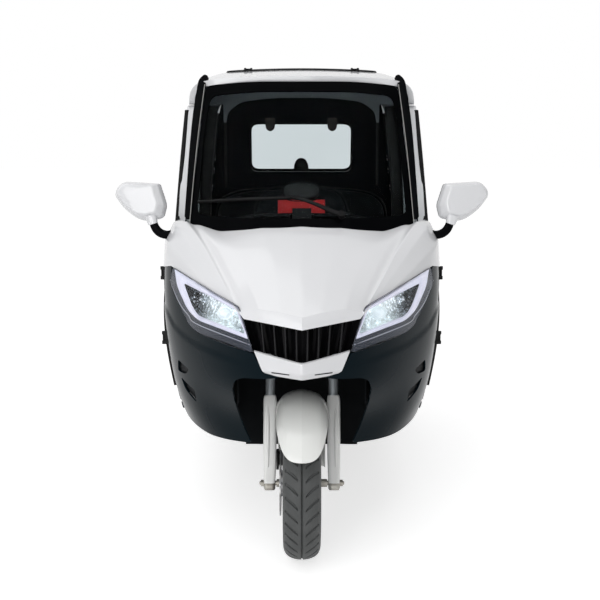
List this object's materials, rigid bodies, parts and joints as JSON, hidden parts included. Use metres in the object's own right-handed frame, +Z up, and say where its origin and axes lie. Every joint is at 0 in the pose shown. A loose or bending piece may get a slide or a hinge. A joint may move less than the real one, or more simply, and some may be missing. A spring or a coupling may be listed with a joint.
{
  "type": "three-wheeled cabin car",
  "caption": "Enclosed tandem cabin car on a steered front wheel and a driven rear axle, with doors, rear hatch and sunroof.",
  "frame": {"origin": "on the floor below the middle of the car's bounding box", "axes": "+Z up; +Y from nose to tail, along the car's length; the nose points to -Y; +X is the picture's right"},
  "size_m": [1.312, 2.3219, 1.648],
  "materials": {
    "white_paint": "gloss",
    "dark_paint": "gloss",
    "black_plastic": "satin",
    "frame_steel": "satin",
    "alloy": "satin",
    "chrome": "polished",
    "tyre": "matte",
    "glass": "clear",
    "dark_glass": "tinted",
    "lamp_clear": "clear",
    "lamp_red": "gloss",
    "mirror": "polished",
    "seat_leather": "satin"
  },
  "bodies": {
    "chassis": {"chassis_frame": "frame_steel", "floor_pan": "black_plastic", "battery_pack": "black_plastic", "front_cowl": "dark_paint", "arch_liner": "black_plastic", "hood": "white_paint", "nose_lip": "white_paint", "grille": "black_plastic", "headlamp_lenses": "lamp_clear", "headlamp_housings": "black_plastic", "windscreen": "glass", "windscreen_frame": "black_plastic", "pillar_trims": "black_plastic", "roof": "white_paint", "rear_wall": "white_paint", "rear_bumper": "dark_paint", "tail_lamps": "lamp_red", "side_panel_left": "white_paint", "side_panel_right": "white_paint", "quarter_glass": "glass", "sills": "dark_paint", "leaf_springs": "frame_steel", "rear_axle": "frame_steel", "driver_seat": "seat_leather", "rear_bench": "seat_leather", "rear_deck": "black_plastic", "dash": "black_plastic", "hinges": "black_plastic", "mirror_housings": "white_paint", "mirror_glasses": "mirror", "mirror_arms": "black_plastic", "wiper": "black_plastic"},
    "steering": {"fork_yoke": "chrome", "fork_legs": "white_paint", "front_fender": "white_paint", "handlebar": "black_plastic"},
    "front_wheel": {"front_tyre": "tyre", "front_rim": "alloy"},
    "rear_wheel_left": {"rear_tyre_left": "tyre", "rear_rim_left": "alloy"},
    "rear_wheel_right": {"rear_tyre_right": "tyre", "rear_rim_right": "alloy"},
    "door_left": {"door_left": "white_paint", "door_glass_left": "glass"},
    "door_right": {"door_right": "white_paint", "door_glass_right": "glass"},
    "rear_hatch": {"rear_hatch": "glass"},
    "sunroof": {"sunroof": "dark_glass"}
  },
  "joints": [
    {"name": "steering", "type": "hinge", "parent": "chassis", "child": "steering", "pos_m": [0, -0.85803, 0.22976], "axis": [0, 0.4067, 0.9135], "range_deg": [-36, 36]},
    {"name": "front_wheel_spin", "type": "hinge", "parent": "steering", "child": "front_wheel", "pos_m": [0, -0.89, 0.244], "axis": [1, 0, 0], "continuous": true},
    {"name": "rear_wheel_left_spin", "type": "hinge", "parent": "chassis", "child": "rear_wheel_left", "pos_m": [-0.43, 0.73, 0.244], "axis": [1, 0, 0], "continuous": true},
    {"name": "rear_wheel_right_spin", "type": "hinge", "parent": "chassis", "child": "rear_wheel_right", "pos_m": [0.43, 0.73, 0.244], "axis": [1, 0, 0], "continuous": true},
    {"name": "door_left_hinge", "type": "hinge", "parent": "chassis", "child": "door_left", "pos_m": [-0.508, -0.4355, 0.76], "axis": [0, 0, 1], "range_deg": [0, 65]},
    {"name": "door_right_hinge", "type": "hinge", "parent": "chassis", "child": "door_right", "pos_m": [0.508, -0.4355, 0.76], "axis": [0, 0, 1], "range_deg": [-65, 0]},
    {"name": "rear_hatch_hinge", "type": "hinge", "parent": "chassis", "child": "rear_hatch", "pos_m": [0, 1.085, 1.4495], "axis": [1, 0, 0], "range_deg": [0, 60]},
    {"name": "sunroof_tilt", "type": "hinge", "parent": "chassis", "child": "sunroof", "pos_m": [0, -0.0125, 1.632], "axis": [1, 0, 0], "range_deg": [0, 12]}
  ]
}
